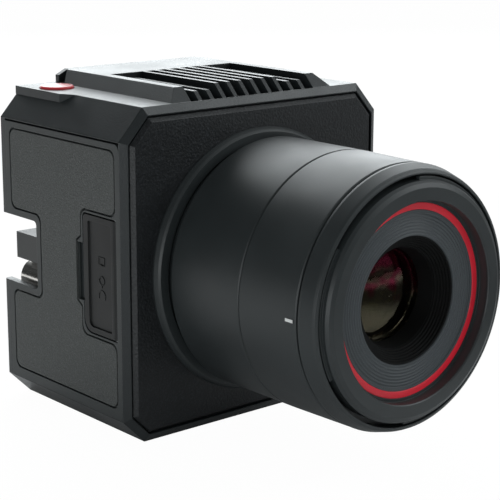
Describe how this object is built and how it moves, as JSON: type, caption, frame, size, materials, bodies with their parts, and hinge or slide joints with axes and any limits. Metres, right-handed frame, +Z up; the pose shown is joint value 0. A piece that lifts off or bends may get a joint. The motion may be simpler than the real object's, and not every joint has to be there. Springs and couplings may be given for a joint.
{
  "type": "live streaming camera",
  "caption": "Box-shaped live streaming camera with a large fixed lens, a hinged port cover, a vented hump and a rear connector bay.",
  "frame": {"origin": "under the middle of the bounding box, on the plane the base stands on", "axes": "+Z up, -Y the way the lens looks, +X across the body, towards the side with the intake slots"},
  "size_m": [0.086, 0.113, 0.0886],
  "materials": {
    "housing": "satin, fine grained",
    "cover": "leather-like grain",
    "panel": "satin",
    "inset": "sand grain",
    "flap": "matt with printed icons",
    "rear": "satin",
    "barrel": "satin black",
    "focus": "satin black",
    "baffle": "matt with fine grooves",
    "red_trim": "satin red",
    "red_button": "satin red",
    "button": "satin",
    "lens_glass": "coated",
    "screen_glass": "gloss black",
    "alloy": "satin",
    "anodised": "anodised grey",
    "steel": "satin",
    "nickel": "bright nickel",
    "board": "solder mask",
    "chip": "epoxy",
    "flex": "polyimide",
    "fan": "moulded",
    "socket_dark": "moulded"
  },
  "bodies": {
    "camera": {"main_housing": "housing", "front_cover": "cover", "rear_cover": "rear", "right_side_panel": "panel", "right_inset": "inset", "left_side_panel": "panel", "left_inset": "inset", "vent_grille": "housing", "heat_sink": "alloy", "fan_frame": "fan", "main_board": "board", "processor": "chip", "sensor_board": "board", "image_sensor": "chip", "sensor_flex": "flex", "port_board": "board", "port_bezel": "socket_dark", "video_socket": "nickel", "microphone_jack": "socket_dark", "headphone_jack": "socket_dark", "port_cover_pin": "steel", "record_switch": "chip", "power_switch": "chip", "touch_screen": "screen_glass", "power_socket": "socket_dark", "coaxial_socket": "nickel", "network_socket": "steel", "usb_socket": "nickel", "base_plate": "anodised", "tripod_bush": "steel", "base_plate_screws": "steel", "rear_cover_screws": "steel", "lens_mount": "alloy", "lens_mount_screws": "steel", "lens_collar": "barrel", "rear_barrel": "barrel", "front_ring": "barrel", "filter_ring": "barrel", "red_ring": "red_trim", "front_baffle": "baffle", "front_element": "lens_glass", "second_element": "lens_glass", "optics_barrel": "anodised", "aperture_stop": "barrel", "rear_element": "lens_glass", "focus_motor": "steel"},
    "focus_ring": {"focus_ring": "focus"},
    "focus_group": {"focus_cell": "anodised", "focus_lens": "lens_glass"},
    "record_button": {"record_button": "red_button"},
    "power_button": {"power_button": "button"},
    "port_cover": {"port_cover": "flap"},
    "fan_rotor": {"fan_rotor": "fan"}
  },
  "joints": [
    {"name": "port_cover_hinge", "type": "hinge", "parent": "camera", "child": "port_cover", "pos_m": [-0.04203, 0.00565, 0.0424], "axis": [0, 0, 1], "range_deg": [0, 95]},
    {"name": "record_button_press", "type": "slide", "parent": "camera", "child": "record_button", "axis": [0, 0, -1], "range_m": [0, 0.0006], "stiffness_N_per_m": 800},
    {"name": "power_button_press", "type": "slide", "parent": "camera", "child": "power_button", "axis": [0, -1, 0], "range_m": [0, 0.0004], "stiffness_N_per_m": 800},
    {"name": "focus_ring_turn", "type": "hinge", "parent": "camera", "child": "focus_ring", "pos_m": [0, -0.0391, 0.0424], "axis": [0, 1, 0], "range_deg": [-60, 60]},
    {"name": "focus_group_travel", "type": "slide", "parent": "camera", "child": "focus_group", "axis": [0, 1, 0], "range_m": [-0.0015, 0.0015]},
    {"name": "fan_spin", "type": "hinge", "parent": "camera", "child": "fan_rotor", "pos_m": [0, 0.02205, 0.076], "axis": [0, 0, 1], "continuous": true}
  ],
  "couplings": [
    {"joint": "focus_group_travel", "follows": "focus_ring_turn", "m_per_rad": 0.0014323}
  ]
}
